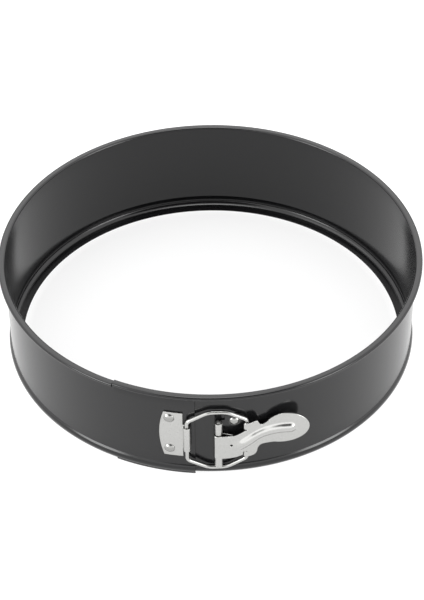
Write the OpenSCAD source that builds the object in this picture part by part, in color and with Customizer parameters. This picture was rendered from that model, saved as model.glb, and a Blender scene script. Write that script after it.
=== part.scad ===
/* [Band] */
// Inside diameter of the closed ring, the nominal pan size
inside_d = 260; // [180:1:320]
// Height of the band from the foot to the top of the rim
band_h = 67; // [58:0.5:90]
// Thickness of the band's sheet
sheet_t = 0.5; // [0.35:0.05:0.7]
// Width of the rolled rim, measured outwards from the inside of the wall
rim_w = 5.4; // [4.6:0.1:6]
// Height of the flattened roll of the rim
rim_h = 3.2; // [2.6:0.1:4]
// How far the rolled edge runs back under the rim towards the wall
rim_return = 1.4; // [0.8:0.1:1.8]
// Outer radius of the base groove's bead
bead_r = 4.5; // [3.8:0.1:5]
// How far the bead stands out of the wall
bead_out = 1.3; // [0.8:0.1:1.6]
// How far the foot's lip reaches inside the wall
lip_in = 7; // [5:0.1:8]
// Angle from the front to the strip's inner end
inner_end_a = 27.3; // [22:0.1:32]
// Angle from the front to the strip's outer end
outer_end_a = 4.6; // [3.5:0.1:5.5]
// Clear gap between the two lapped ends at the front
lap_gap = 0.4; // [0.3:0.05:0.6]

/* [Latch plates] */
// Thickness of the sheet of both latch plates
plate_t = 0.9; // [0.7:0.05:1.1]
// Arc along the wall from the front to the wire plate's straight edge
wire_plate_x = 18.2; // [17:0.1:20]
// Width of the wire plate to the corners of its bowed edge
wire_plate_w = 11.8; // [10:0.1:14]
// Lowest edge of the wire plate
wire_plate_z = 15; // [12:0.5:17]
// Height of the wire plate
wire_plate_h = 36; // [32:0.5:38]
// How far the outer edge of either plate is bowed
plate_bow = 2.8; // [1.5:0.1:4]
// Arc along the wall from the front to the lever plate's straight edge
lever_plate_x = 7.2; // [7:0.1:8]
// Width of the lever plate to the corners of its bowed edge
lever_plate_w = 10.6; // [9:0.1:12]
// Lowest edge of the lever plate
lever_plate_z = 12.5; // [10:0.5:14]
// Height of the lever plate
lever_plate_h = 37.2; // [34:0.1:38]
// Length of the wire plate's knuckle
wire_knuckle_l = 18.8; // [14:0.2:20]
// How far the wire plate's knuckle lies below the middle of the plate
wire_knuckle_drop = 1.2; // [0.6:0.1:2]
// Length of the lever plate's knuckle above the lever
upper_knuckle_l = 11; // [6:0.2:12]
// Length of the lever plate's knuckle below the lever
lower_knuckle_l = 6.4; // [4:0.2:6.6]
// How far the wire plate's roll stands off the strip
wire_knuckle_lift = 0.55; // [0.4:0.05:0.8]
// How far the lever plate's rolls stand off the wall
pin_knuckle_lift = 0.7; // [0.5:0.05:0.8]

/* [Rivets] */
// Diameter of a rivet's domed head
rivet_head_d = 6.6; // [5:0.1:7.5]
// Height of the domed head
rivet_head_h = 1.5; // [1:0.1:2]
// Diameter of a rivet's shank
rivet_shank_d = 3; // [2.4:0.1:3.6]
// Diameter of the flat tail inside the ring
rivet_tail_d = 4.8; // [3.8:0.1:6]
// Height of the flat tail inside the ring
rivet_tail_h = 0.5; // [0.3:0.05:0.8]
// Distance from a plate's upper and lower edge to its rivets
rivet_inset = 5.3; // [4.8:0.1:7]
// Distance from the corners of the wire plate's bowed edge to its rivets
rivet_edge = 3.4; // [2.5:0.1:5]

/* [Wire] */
// Diameter of the bent wire
wire_d = 2.5; // [2:0.1:2.8]
// Arc along the wall from the front to the wire's hinge
wire_hinge_x = 15; // [14:0.1:16]
// Bend radius at the hinge and at the hooks, to the middle of the wire
wire_bend = 4; // [3.2:0.1:4.2]
// Bend radius at both ends of the level runs, to the middle of the wire
run_bend = 12; // [8:0.5:14]
// Distance from the wire's hinge to the start of its level upper run
top_run_in = 11; // [9:0.1:13]
// Distance from the lever's hooks to the end of the level upper run
top_run_out = 11.5; // [10.8:0.1:12.5]
// Distance from the wire's hinge to the start of its level lower run
low_run_in = 13.5; // [12:0.1:15]
// Distance from the lever's hooks to the end of the level lower run
low_run_out = 9; // [8.6:0.1:10]
// Rise of the wire's level upper run above the lever plate
wire_top_rise = 1.7; // [1.4:0.1:2.6]
// Height of the wire's upper corner at the hinge
hinge_top_z = 43.8; // [43:0.1:45]
// Height of the wire's lower corner at the hinge
hinge_low_z = 13.4; // [12:0.1:15]
// Distance from the lever plate's upper edge down to the wire's upper corner at the lever
hook_top_drop = 4.1; // [3.4:0.1:4.6]
// Height of the wire's lower corner at the lever
hook_low_z = 14.4; // [13:0.1:15]

/* [Lever] */
// Thickness of the lever's sheet
lever_t = 1.1; // [0.9:0.05:1.2]
// Diameter of the hinge pin
pin_d = 2.8; // [2.4:0.1:3]
// Distance of the hinge pin from the front, to the right
pin_x = 3.6; // [3.2:0.1:4]
// How far the closed lever leans towards the wall, in degrees
lever_lean = 5; // [4:0.5:6]
// Length from the pin to the tip of the thumb plate
lever_l = 54.2; // [50:0.1:60]
// Lower edge of the lever's root
root_z = 16.3; // [15:0.1:18]
// Height of the lever's root and barrel
root_h = 18.3; // [16:0.1:19]
// Distance from the pin to the wire held in the hooks
hook_s = 15; // [14.5:0.05:16]
// Height of each hook
hook_h = 4.4; // [3:0.1:5]
// Distance from the wire's upper corner down to the upper hook
upper_hook_inset = 3.3; // [3:0.1:4]
// Distance from the wire's lower corner up to the lower hook
lower_hook_inset = 2.8; // [2.5:0.1:3.5]
// How far each hook is curled round the wire, in degrees
hook_curl = 60; // [45:1:60]
// Distance from the hooks back to the end of the lever's root
root_end = 2.5; // [2.4:0.1:3.2]
// Distance from the pin to the widest part of the thumb plate
thumb_s = 38; // [36:0.1:40]
// Height of the middle of the thumb plate
thumb_z = 38.2; // [37:0.1:39]
// Half the height of the thumb plate
thumb_r = 11.8; // [10:0.1:13]
// Length of the thumb plate from its widest part back to the neck
thumb_back = 12; // [11:0.1:13]
// Width of the pressed rib on the lever's face
rib_w = 6; // [5:0.1:7]
// How far the rib stands out of the face
rib_h = 1.4; // [1:0.1:1.8]
// Climb of the rib from the root to the thumb plate, in degrees
rib_climb = 32; // [29:0.5:35]
// Bend radius of the rib where it levels out
rib_bend = 18; // [14:0.5:22]
// Diameter of the small hole near the rib's lower end
eye_d = 1.6; // [1.2:0.1:2]

/* [Clearances] */
// Running clearance round the hinge pin and the wire, on the radius
running_gap = 0.05; // [0.03:0.01:0.1]
// Gap between the wire and the hooks and back of the lever
hook_gap = 0.1; // [0.08:0.01:0.2]
// Gap between the lever's barrel and the knuckles beside it
barrel_gap = 0.3; // [0.2:0.05:0.5]
// Gap between the lower knuckle and the wire's level lower run
loop_gap = 0.45; // [0.3:0.05:0.8]
// Gap between the wire plate and the strip that it is riveted to
seat_gap = 0.05; // [0.03:0.01:0.1]

/* [Hidden] */
$fn = 96;

band_colour = "#3f4042";
zinc_colour = "#c9c9c7";
wire_colour = "#d8d8d6";

// The strip's right half is struck from the middle of the ring and its left half from a centre
// nearer the latch, so the outer end passes outside the inner end without a kink
wall_r = inside_d / 2;
lap_step = (sheet_t + lap_gap) / 2;
lap_r = wall_r + 2 * lap_step;
rim_r = rim_h / 2;
end_gap_a = 0.25;
seam_a = 90;
front_a = 270;
inner_a = front_a - inner_end_a;
outer_a = front_a - outer_end_a;
tuck_z = band_h - rim_h - lap_gap;
// The tucked end is set outwards by a slight joggle where it leaves the full outline
joggle = 0.02;
// Each bend of the rim runs a little way into the straight part that it joins
rim_root_a = 6;

// The bead is an arc whose lowest point is the foot
bead_c = sheet_t + bead_out - bead_r;
bead_top_a = acos((sheet_t - bead_c) / bead_r);
bead_top_z = bead_r + bead_r * sin(bead_top_a);
tuck_a = 35;
skirt_z = 1;

// Knuckles and the lever's barrel are rolled round the wire or the pin with a running clearance
wire_r = wire_d / 2;
pin_r = pin_d / 2;
wire_roll_r = wire_r + running_gap + plate_t;
pin_roll_r = pin_r + running_gap + plate_t;
barrel_r = pin_r + running_gap + lever_t;

// The pin reaches from the foot of the lower knuckle to the head of the upper one
root_top = root_z + root_h;
pin_foot_z = root_z - barrel_gap - lower_knuckle_l;
pin_head_z = root_top + barrel_gap + upper_knuckle_l;

// Hinge places in plan: the outer layer of the strip carries the wire, the inner one the pin
wire_face_r = lap_r + sheet_t + seat_gap;
wire_hinge_r = wire_face_r + wire_knuckle_lift + wire_roll_r;
wire_hinge_a = arc_angle(wire_hinge_x);
wire_hinge = [-wire_hinge_r * sin(wire_hinge_a), -wire_hinge_r * cos(wire_hinge_a)];
lever_face_r = wall_r + sheet_t;
pin_hinge_r = lever_face_r + pin_knuckle_lift + pin_roll_r;
pin_hinge = [pin_x, -sqrt(pin_hinge_r * pin_hinge_r - pin_x * pin_x)];

// The hooked run of the wire lies against the lever's back, almost in line with the pin
face_t = barrel_r;
back_t = barrel_r - lever_t;
hook_t = back_t - hook_gap - wire_r;
hook_place = pin_hinge + hook_s * [cos(lever_lean), sin(lever_lean)]
             + hook_t * [sin(lever_lean), -cos(lever_lean)];
wire_span = norm(hook_place - wire_hinge);
wire_turn = atan2(hook_place[1] - wire_hinge[1], hook_place[0] - wire_hinge[0]);

// The wire's eight corners, as distance from its hinge and height
wire_top_z = lever_plate_z + lever_plate_h + wire_top_rise;
hook_top_z = lever_plate_z + lever_plate_h - hook_top_drop;
wire_low_z = pin_foot_z - loop_gap - wire_r;
wire_corners = [[0, hinge_top_z], [top_run_in, wire_top_z],
                [wire_span - top_run_out, wire_top_z], [wire_span, hook_top_z],
                [wire_span, hook_low_z], [wire_span - low_run_out, wire_low_z],
                [low_run_in, wire_low_z], [0, hinge_low_z]];
wire_bends = [wire_bend, run_bend, run_bend, wire_bend, wire_bend, run_bend, run_bend, wire_bend];

// A formed bend swells by a hair, and each straight run ends just inside it
bend_swell = 0.005;
bend_knit = 0.05;

// The hooks sit at the two ends of the wire's straight run
upper_hook_z = hook_top_z - hook_h - upper_hook_inset;
lower_hook_z = hook_low_z + lower_hook_inset;

// Outline of the lever beyond its root: ears measured from the foot of each hook, neck from the thumb
ear_rise_s = 7.4;
lower_ear_foot = [1.2, -0.4];
lower_ear_tip = [6.3, 1.6];
lower_ear_side = [7.5, 5];
lower_ear_step = 1.5;
upper_ear_edge = 4.6;
upper_ear_tip = [6.8, 8];
upper_ear_nick = [8, 6.3];
upper_ear_root = [8.8, 5.7];
upper_ear_back = 0.4;
lower_neck = [-11.5, -9.8];
upper_neck = [-11, 6.4];

// The rib climbs from the root and levels out in the thumb plate
rib_root = [7.8, 10.2];
rib_start = [rib_root[0], root_z + rib_root[1]];
rib_level_z = thumb_z + 2;
rib_end_s = thumb_s + 6;
eye_s = rib_start[0] - 1;
// The pressed bend and ends of the rib are a little fuller than its straight runs, which end inside them
rib_swell = 0.05;
rib_knit = 0.3;
rib_ball_r = (rib_w * rib_w / 4 + rib_h * rib_h) / (2 * rib_h);
rib_sink = rib_ball_r - rib_h;

// Rivets, two to a plate
wire_rivet_x = wire_plate_x + wire_plate_w - rivet_edge;
wire_rivet_zs = [wire_plate_z + rivet_inset, wire_plate_z + wire_plate_h - rivet_inset];
lever_rivet_x = lever_plate_x + lever_plate_w / 2;
lever_rivet_zs = [lever_plate_z + rivet_inset, lever_plate_z + lever_plate_h - rivet_inset];

// How far a knuckle's tab runs into its plate, and how far a cut runs past a face
tab_lap = 1;
cut_past = 1;
plate_sweep_a = 40;

function unit(v) = v / norm(v);

// Angle that an arc length along the wall covers
function arc_angle(arc) = arc / lap_r * 180 / PI;

// Half of the angle by which the closed path turns at corner i
function half_turn(path, i) =
    let (n = len(path),
         before = unit(path[i] - path[(i + n - 1) % n]),
         after = unit(path[(i + 1) % n] - path[i]))
    acos(before * after) / 2;

// Solid from the polar angle a0 to a1 with the outline that its children draw in radius and height
module sweep_arc(a0, a1) {
    rotate([0, 0, a0]) rotate_extrude(angle = a1 - a0, $fn = 180) children();
}

// Part of a flat ring between two angles
module ring_arc(outer_r, inner_r, a0, a1) {
    steps = 6;
    reach = 2 * outer_r;
    intersection() {
        difference() {
            circle(outer_r);
            circle(inner_r);
        }
        polygon(concat([[0, 0]],
            [for (i = [0 : steps]) let (a = a0 + (a1 - a0) * i / steps) reach * [cos(a), sin(a)]]));
    }
}

// Strip outline up to the top of the plain wall: bead from its top down to the angle end_a
module wall_outline(r, top_z, end_a) {
    translate([r, bead_top_z - sheet_t]) square([sheet_t, top_z - bead_top_z + sheet_t]);
    translate([r + bead_c, bead_r]) ring_arc(bead_r, bead_r - sheet_t, end_a, bead_top_a);
}

// Flattened roll of the rim, from the wall over the top and back underneath
module rim_outline() {
    far = rim_w - rim_r;
    translate([rim_r, 0]) ring_arc(rim_r, rim_r - sheet_t, 90 - rim_root_a, 180 + rim_root_a);
    translate([rim_r, rim_r - sheet_t]) square([far - rim_r, sheet_t]);
    translate([far, 0]) ring_arc(rim_r, rim_r - sheet_t, -90 - rim_root_a, 90 + rim_root_a);
    translate([far - rim_return, -rim_r]) square([rim_return, sheet_t]);
}

// Full outline of the strip: rolled rim, wall, bead and foot lip
module strip_outline(r) {
    wall_outline(r, band_h - rim_r, -90);
    translate([r, band_h - rim_r]) rim_outline();
    translate([r - lip_in, 0]) square([lip_in + bead_c, sheet_t]);
}

// Outline of the outer end, which tucks under the rim and over the bead of the inner end
module tucked_outline(r) {
    wall_outline(r, tuck_z, -tuck_a);
    translate([r + bead_c + bead_r * cos(tuck_a) - sheet_t, skirt_z])
        square([sheet_t, bead_r - bead_r * sin(tuck_a) - skirt_z + sheet_t]);
}

// Places children at the radius r, at an arc length from the front; y points inwards
module on_wall(arc, r) {
    rotate([0, 0, arc_angle(arc)]) translate([0, -r, 0]) children();
}

// Hole of diameter d through a wall, from the depth inner outwards
module rivet_hole(z, d, inner) {
    translate([0, inner, z]) rotate([90, 0, 0])
        cylinder(d = d, h = inner + plate_t + cut_past, $fn = 48);
}

// Rivet with its head seated at depth 0 and its shank reaching inwards
module rivet(grip, tail) {
    ball_r = (rivet_head_d * rivet_head_d / 4 + rivet_head_h * rivet_head_h) / (2 * rivet_head_h);
    rotate([90, 0, 0]) {
        intersection() {
            translate([0, 0, rivet_head_h - ball_r]) sphere(ball_r);
            cylinder(d = rivet_head_d, h = rivet_head_h);
        }
        translate([0, 0, -grip]) cylinder(d = rivet_shank_d, h = grip, $fn = 48);
        if (tail > 0)
            translate([0, 0, -grip - tail]) cylinder(d = rivet_tail_d, h = tail, $fn = 48);
    }
}

// Curved plate on a wall, with one straight edge at x0, one bowed edge and the height h
module curved_plate(r, x0, w, z0, h) {
    side = w > 0 ? 1 : -1;
    bow_r = (h * h / 4 + plate_bow * plate_bow) / (2 * plate_bow);
    reach = abs(w) + plate_bow;
    intersection() {
        sweep_arc(front_a - plate_sweep_a, front_a + plate_sweep_a)
            translate([r, z0]) square([plate_t, h]);
        rotate([90, 0, 0]) linear_extrude(2 * r) intersection() {
            translate([side > 0 ? x0 : x0 - reach, z0]) square([reach, h]);
            translate([x0 + side * (reach - bow_r), z0 + h / 2]) circle(bow_r, $fn = 180);
        }
    }
}

// Roll of sheet on a hinge axis with a tab that joins it to the plate's face
module knuckle(roll_r, bore_r, z0, l, tab_x, face_depth) {
    difference() {
        union() {
            translate([0, 0, z0]) cylinder(r = roll_r, h = l);
            translate([min(0, tab_x), face_depth - plate_t, z0]) cube([abs(tab_x), plate_t, l]);
        }
        translate([0, 0, z0 - cut_past]) cylinder(r = bore_r, h = l + 2 * cut_past);
    }
}

// Bent wire along a closed path of corners in the x and z plane, with a bend radius for each corner
module bent_wire(path, bends, r) {
    n = len(path);
    for (i = [0 : n - 1]) {
        a = path[i];
        b = path[(i + 1) % n];
        back = unit(path[(i + n - 1) % n] - a);
        ahead = unit(b - a);
        bend_r = bends[i];
        half_a = half_turn(path, i);
        start = a + ahead * bend_r * tan(half_a);
        finish = b - ahead * bends[(i + 1) % n] * tan(half_turn(path, (i + 1) % n));
        centre = a + unit(back + ahead) * bend_r / cos(half_a);
        first = a + back * bend_r * tan(half_a) - centre;
        translate([start[0], 0, start[1]])
            rotate([0, 90 - atan2(ahead[1], ahead[0]), 0])
                translate([0, 0, -bend_knit])
                    cylinder(r = r, h = norm(finish - start) + 2 * bend_knit, $fn = 48);
        translate([centre[0], 0, centre[1]])
            rotate([90, 0, 0])
                rotate([0, 0, atan2(first[1], first[0]) - 2 * half_a])
                    rotate_extrude(angle = 2 * half_a)
                        translate([bend_r, 0]) circle(r + bend_swell, $fn = 48);
    }
}

// Places children in the lever's own frame: x along the lever, y inwards, z up
module on_lever() {
    translate([pin_hinge[0], pin_hinge[1], 0]) rotate([0, 0, lever_lean]) children();
}

// Thumb plate, blunter towards the root than towards its tip
module thumb_outline() {
    steps = 48;
    translate([thumb_s, thumb_z]) polygon([for (i = [0 : steps - 1])
        let (a = 360 * i / steps)
        [(cos(a) > 0 ? lever_l - thumb_s : thumb_back) * cos(a), thumb_r * sin(a)]]);
}

// Flat outline of the lever, as distance from the pin and height
module lever_outline() {
    root_s = hook_s - root_end;
    low = [hook_s, lower_hook_z];
    high = [hook_s, upper_hook_z];
    thumb = [thumb_s, thumb_z];
    translate([0, root_z]) square([root_s, root_h]);
    polygon([[ear_rise_s, root_z], [root_s, root_z + lower_ear_step], [root_s, low[1] + hook_h],
             low + [0, hook_h], low, low + lower_ear_foot, low + lower_ear_tip,
             low + lower_ear_side, thumb + lower_neck, thumb, thumb + upper_neck,
             high + upper_ear_root, high + upper_ear_nick, high + upper_ear_tip,
             high + [0, upper_ear_edge], high, high - [upper_ear_back, 0], [ear_rise_s, root_top]]);
    thumb_outline();
}

// Rounded S-shaped bar that the rib's outside and its hollow back are cut from
module rib_bar(r) {
    corner = [rib_start[0] + (rib_level_z - rib_start[1]) / tan(rib_climb), rib_level_z];
    reach = rib_bend * tan(rib_climb / 2);
    climb_l = norm(corner - rib_start) - reach;
    translate([rib_start[0], 0, rib_start[1]]) sphere(r + rib_swell, $fn = 48);
    translate([rib_start[0], 0, rib_start[1]]) rotate([0, 90 - rib_climb, 0])
        cylinder(r = r, h = climb_l + rib_knit, $fn = 48);
    translate([corner[0] + reach, 0, rib_level_z - rib_bend]) rotate([90, 0, 0]) rotate([0, 0, 90])
        rotate_extrude(angle = rib_climb) translate([rib_bend, 0]) circle(r + rib_swell, $fn = 48);
    translate([corner[0] + reach - rib_knit, 0, rib_level_z]) rotate([0, 90, 0])
        cylinder(r = r, h = rib_end_s - corner[0] - reach + rib_knit, $fn = 48);
    translate([rib_end_s, 0, rib_level_z]) sphere(r + rib_swell, $fn = 48);
}

module hook(z) {
    translate([hook_s, -hook_t, z]) mirror([0, 1, 0]) linear_extrude(hook_h)
        ring_arc(wire_r + hook_gap + lever_t, wire_r + hook_gap, 90, 90 + hook_curl);
}

module band() {
    color(band_colour) difference() {
        union() {
            sweep_arc(inner_a, seam_a + 360) strip_outline(wall_r);
            translate([0, -lap_step, 0]) {
                sweep_arc(seam_a, inner_a - end_gap_a) strip_outline(wall_r + lap_step);
                sweep_arc(inner_a - 2 * end_gap_a, outer_a) tucked_outline(wall_r + lap_step + joggle);
            }
        }
        for (z = wire_rivet_zs)
            on_wall(-wire_rivet_x, lap_r) rivet_hole(z, rivet_shank_d + 2 * seat_gap, lap_gap / 2);
        for (z = lever_rivet_zs)
            on_wall(lever_rivet_x, wall_r) rivet_hole(z, rivet_shank_d, cut_past);
    }
}

module wire_plate() {
    color(zinc_colour) difference() {
        union() {
            curved_plate(wire_face_r, -wire_plate_x, -wire_plate_w, wire_plate_z, wire_plate_h);
            translate([wire_hinge[0], wire_hinge[1], 0]) rotate([0, 0, -wire_hinge_a])
                knuckle(wire_roll_r, wire_r + running_gap,
                        wire_plate_z + (wire_plate_h - wire_knuckle_l) / 2 - wire_knuckle_drop,
                        wire_knuckle_l,
                        wire_hinge_x - wire_plate_x - tab_lap, wire_hinge_r - wire_face_r);
        }
        for (z = wire_rivet_zs)
            on_wall(-wire_rivet_x, wire_face_r) rivet_hole(z, rivet_shank_d, cut_past);
    }
}

module wire_plate_rivet(z) {
    color(zinc_colour) on_wall(-wire_rivet_x, wire_face_r + plate_t)
        translate([0, 0, z]) rivet(plate_t + seat_gap + sheet_t, 0);
}

module wire_plate_upper_rivet() {
    wire_plate_rivet(wire_rivet_zs[1]);
}

module wire_plate_lower_rivet() {
    wire_plate_rivet(wire_rivet_zs[0]);
}

module lever_plate() {
    pin_a = asin(pin_x / pin_hinge_r);
    color(zinc_colour) difference() {
        union() {
            curved_plate(lever_face_r, lever_plate_x, lever_plate_w, lever_plate_z, lever_plate_h);
            for (place = [[pin_foot_z, lower_knuckle_l], [root_top + barrel_gap, upper_knuckle_l]])
                translate([pin_hinge[0], pin_hinge[1], 0]) rotate([0, 0, pin_a])
                    knuckle(pin_roll_r, pin_r, place[0], place[1],
                            lever_plate_x - pin_x + tab_lap, pin_hinge_r - lever_face_r);
        }
        for (z = lever_rivet_zs)
            on_wall(lever_rivet_x, lever_face_r) rivet_hole(z, rivet_shank_d, cut_past);
    }
}

module lever_plate_rivet(z) {
    color(zinc_colour) on_wall(lever_rivet_x, lever_face_r + plate_t)
        translate([0, 0, z]) rivet(plate_t + sheet_t, rivet_tail_h);
}

module lever_plate_upper_rivet() {
    lever_plate_rivet(lever_rivet_zs[1]);
}

module lever_plate_lower_rivet() {
    lever_plate_rivet(lever_rivet_zs[0]);
}

module hinge_pin() {
    color(zinc_colour) translate([pin_hinge[0], pin_hinge[1], pin_foot_z])
        cylinder(r = pin_r, h = pin_head_z - pin_foot_z);
}

module latch_wire() {
    color(wire_colour) translate([wire_hinge[0], wire_hinge[1], 0]) rotate([0, 0, wire_turn])
        bent_wire(wire_corners, wire_bends, wire_r);
}

module lever() {
    color(zinc_colour) on_lever() difference() {
        union() {
            translate([0, -back_t, 0]) rotate([90, 0, 0]) linear_extrude(lever_t) lever_outline();
            translate([0, 0, root_z]) cylinder(r = barrel_r, h = root_h);
            hook(upper_hook_z);
            hook(lower_hook_z);
            intersection() {
                translate([0, rib_sink - face_t, 0]) rib_bar(rib_ball_r);
                translate([0, -face_t - 2 * rib_h, 0]) cube([lever_l, lever_t + 2 * rib_h, band_h]);
            }
        }
        translate([0, 0, root_z - cut_past])
            cylinder(r = pin_r + running_gap, h = root_h + 2 * cut_past);
        translate([0, rib_sink - face_t, 0]) rib_bar(rib_ball_r - lever_t);
        translate([eye_s, 0, rib_start[1]]) rotate([90, 0, 0])
            cylinder(d = eye_d, h = face_t + rib_h + cut_past);
    }
}

band();
wire_plate();
wire_plate_upper_rivet();
wire_plate_lower_rivet();
lever_plate();
lever_plate_upper_rivet();
lever_plate_lower_rivet();
hinge_pin();
latch_wire();
lever();
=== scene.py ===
import math
import bmesh
import bpy
import numpy as np
from mathutils import Matrix, Vector
from mathutils.geometry import delaunay_2d_cdt


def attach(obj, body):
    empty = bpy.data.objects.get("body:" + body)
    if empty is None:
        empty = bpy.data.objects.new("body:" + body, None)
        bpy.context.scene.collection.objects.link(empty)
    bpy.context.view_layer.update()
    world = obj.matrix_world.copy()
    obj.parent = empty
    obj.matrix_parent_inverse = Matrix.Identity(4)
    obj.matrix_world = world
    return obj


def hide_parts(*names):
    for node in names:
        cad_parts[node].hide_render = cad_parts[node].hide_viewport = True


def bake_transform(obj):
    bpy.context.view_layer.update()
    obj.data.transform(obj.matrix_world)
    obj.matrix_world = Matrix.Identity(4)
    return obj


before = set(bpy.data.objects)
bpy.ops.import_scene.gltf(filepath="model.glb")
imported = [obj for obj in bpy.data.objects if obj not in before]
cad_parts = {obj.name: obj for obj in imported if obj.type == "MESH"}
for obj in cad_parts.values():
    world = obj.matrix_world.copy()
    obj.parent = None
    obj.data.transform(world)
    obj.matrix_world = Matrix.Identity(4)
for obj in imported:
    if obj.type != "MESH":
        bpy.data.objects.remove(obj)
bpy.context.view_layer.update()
mm = 0.001          # sizes of pieces are given in millimetres, angles in degrees
scene = bpy.context.scene
print("frame loaded:", ", ".join(sorted(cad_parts)))


def linearColour(hexCode):
    parts = [int(hexCode[i:i + 2], 16) / 255 for i in (1, 3, 5)]
    return [c / 12.92 if c <= 0.04045 else ((c + 0.055) / 1.055) ** 2.4 for c in parts] + [1.0]


def addNode(tree, kind, links=None, **settings):
    node = tree.nodes.new(kind)
    for name, value in settings.items():
        setattr(node, name, value)
    for socket, value in (links or {}).items():
        if isinstance(value, bpy.types.NodeSocket):
            tree.links.new(value, node.inputs[socket])
        else:
            node.inputs[socket].default_value = value
    return node


def newMaterial(name):
    material = bpy.data.materials.new(name)
    material.use_nodes = True
    tree = material.node_tree
    return material, tree, tree.nodes["Principled BSDF"]


# Camera, placed where the photo was taken from
cameraSetup = {
    "distance": 1.3,                # metres from the middle of the ring's foot
    "elevation": 42.41,             # above the floor
    "roll": -0.61,
    "focalPixels": 1974.1,
    "longSide": 600,                # pixels
    "axisPixel": (211.4, 328.4),    # where the middle of the ring's foot is seen
    "middlePixel": (212.0, 300.0),
    "sensor": 36.0,
    "clip": (0.05, 50.0),           # metres
}


def makeCamera(setup):
    rise = math.radians(setup["elevation"])
    back = Vector((0, -math.cos(rise), math.sin(rise)))
    data = bpy.data.cameras.new("photoCamera")
    camera = bpy.data.objects.new("photoCamera", data)
    scene.collection.objects.link(camera)
    camera.location = back * setup["distance"]
    turn = (-back).to_track_quat("-Z", "Y").to_matrix().to_4x4()
    roll = Matrix.Rotation(math.radians(setup["roll"]), 4, "Z")
    camera.rotation_euler = (turn @ roll).to_euler()
    data.sensor_width = setup["sensor"]
    data.lens = setup["focalPixels"] / setup["longSide"] * setup["sensor"]
    data.shift_x = (setup["middlePixel"][0] - setup["axisPixel"][0]) / setup["longSide"]
    data.shift_y = (setup["axisPixel"][1] - setup["middlePixel"][1]) / setup["longSide"]
    data.clip_start, data.clip_end = setup["clip"]
    scene.camera = camera


makeCamera(cameraSetup)
print("camera placed")

# White tent round the ring, a soft key light and a pale floor. The tent and floor glow.
studio = {
    "tent": 2.0,
    # azimuth from the camera's side, elevation, the angles of full and of no effect, and the light there
    "patches": (
        (180.0, 0.0, 28.0, 42.0, 0.4),          # dark end of the room
        (180.0, 48.0, 16.0, 30.0, 3.0),         # softbox behind the ring
        (0.0, 90.0, 7.0, 14.0, 8.0),            # softbox overhead
        (-57.0, 14.0, 9.0, 17.0, 10.0),         # softboxes beside the camera
        (57.0, 14.0, 9.0, 17.0, 10.0),
        (0.0, 42.4, 19.0, 27.0, 0.04),          # dark opening that the photo was taken through
        (24.0, 44.0, 18.0, 25.0, 0.04),
    ),
    "white": "#ffffff",
    "floorSize": 6.0,               # metres
    "floorDrop": 0.05,              # under the foot
    "paper": "#808080",
    "paperRoughness": 0.9,
    "floorGlow": 0.95,
    "ringGlow": 0.68,               # inside the ring, where the band takes part of the light
    "ringEdge": (0.118, 0.134),     # metres from the axis, between the two glows
    "keyPlace": (-0.9, 0.3, 1.5),   # metres
    "keySize": 0.9,                 # metres
    "keyPower": 3.0,                # watts
}


def towards(azimuth, elevation):
    a, e = math.radians(azimuth), math.radians(elevation)
    return Vector((math.sin(a) * math.cos(e), -math.cos(a) * math.cos(e), math.sin(e)))


def makeTent(setup):
    world = bpy.data.worlds.new("studioTent")
    scene.world = world
    world.use_nodes = True
    tree = world.node_tree
    tree.nodes.clear()
    place = addNode(tree, "ShaderNodeTexCoord").outputs["Generated"]
    light = setup["tent"]
    for azimuth, elevation, inner, outer, strength in setup["patches"]:
        aim = addNode(tree, "ShaderNodeVectorMath", {0: place, 1: towards(azimuth, elevation)},
                      operation="DOT_PRODUCT")
        edge = addNode(tree, "ShaderNodeMapRange", {"Value": aim.outputs["Value"],
                                                    "From Min": math.cos(math.radians(outer)),
                                                    "From Max": math.cos(math.radians(inner))},
                       interpolation_type="SMOOTHSTEP")
        mixed = addNode(tree, "ShaderNodeMix", {0: edge.outputs["Result"], 2: light, 3: strength})
        light = mixed.outputs[0]
    glow = addNode(tree, "ShaderNodeBackground", {"Color": linearColour(setup["white"]), "Strength": light})
    addNode(tree, "ShaderNodeOutputWorld", {"Surface": glow.outputs[0]})


def makeKey(setup):
    lamp = bpy.data.lights.new("keySoftbox", "AREA")
    lamp.shape = "DISK"
    lamp.size = setup["keySize"]
    lamp.energy = setup["keyPower"]
    key = bpy.data.objects.new("keySoftbox", lamp)
    key.location = setup["keyPlace"]
    key.rotation_euler = (-Vector(setup["keyPlace"])).to_track_quat("-Z", "Y").to_euler()
    scene.collection.objects.link(key)


def makeFloor(setup):
    half = setup["floorSize"] / 2
    corners = [(-half, -half, 0), (half, -half, 0), (half, half, 0), (-half, half, 0)]
    mesh = bpy.data.meshes.new("paleFloor")
    mesh.from_pydata(corners, [], [(0, 1, 2, 3)])
    floor = bpy.data.objects.new("paleFloor", mesh)
    floor.location.z = -setup["floorDrop"] * mm
    scene.collection.objects.link(floor)
    paper, tree, shader = newMaterial("paleFloorPaper")
    place = addNode(tree, "ShaderNodeTexCoord")
    far = addNode(tree, "ShaderNodeVectorMath", {0: place.outputs["Object"]}, operation="LENGTH")
    near, beyond = setup["ringEdge"]
    glow = addNode(tree, "ShaderNodeMapRange", {"Value": far.outputs["Value"],
                                                "From Min": near, "From Max": beyond,
                                                "To Min": setup["ringGlow"], "To Max": setup["floorGlow"]})
    tree.links.new(glow.outputs["Result"], shader.inputs["Emission Strength"])
    shader.inputs["Base Color"].default_value = linearColour(setup["paper"])
    shader.inputs["Roughness"].default_value = setup["paperRoughness"]
    shader.inputs["Specular IOR Level"].default_value = 0.0
    shader.inputs["Emission Color"].default_value = linearColour(setup["white"])
    mesh.materials.append(paper)


makeTent(studio)
makeKey(studio)
makeFloor(studio)
scene.view_settings.view_transform = "Standard"
print("studio lit")


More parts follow.
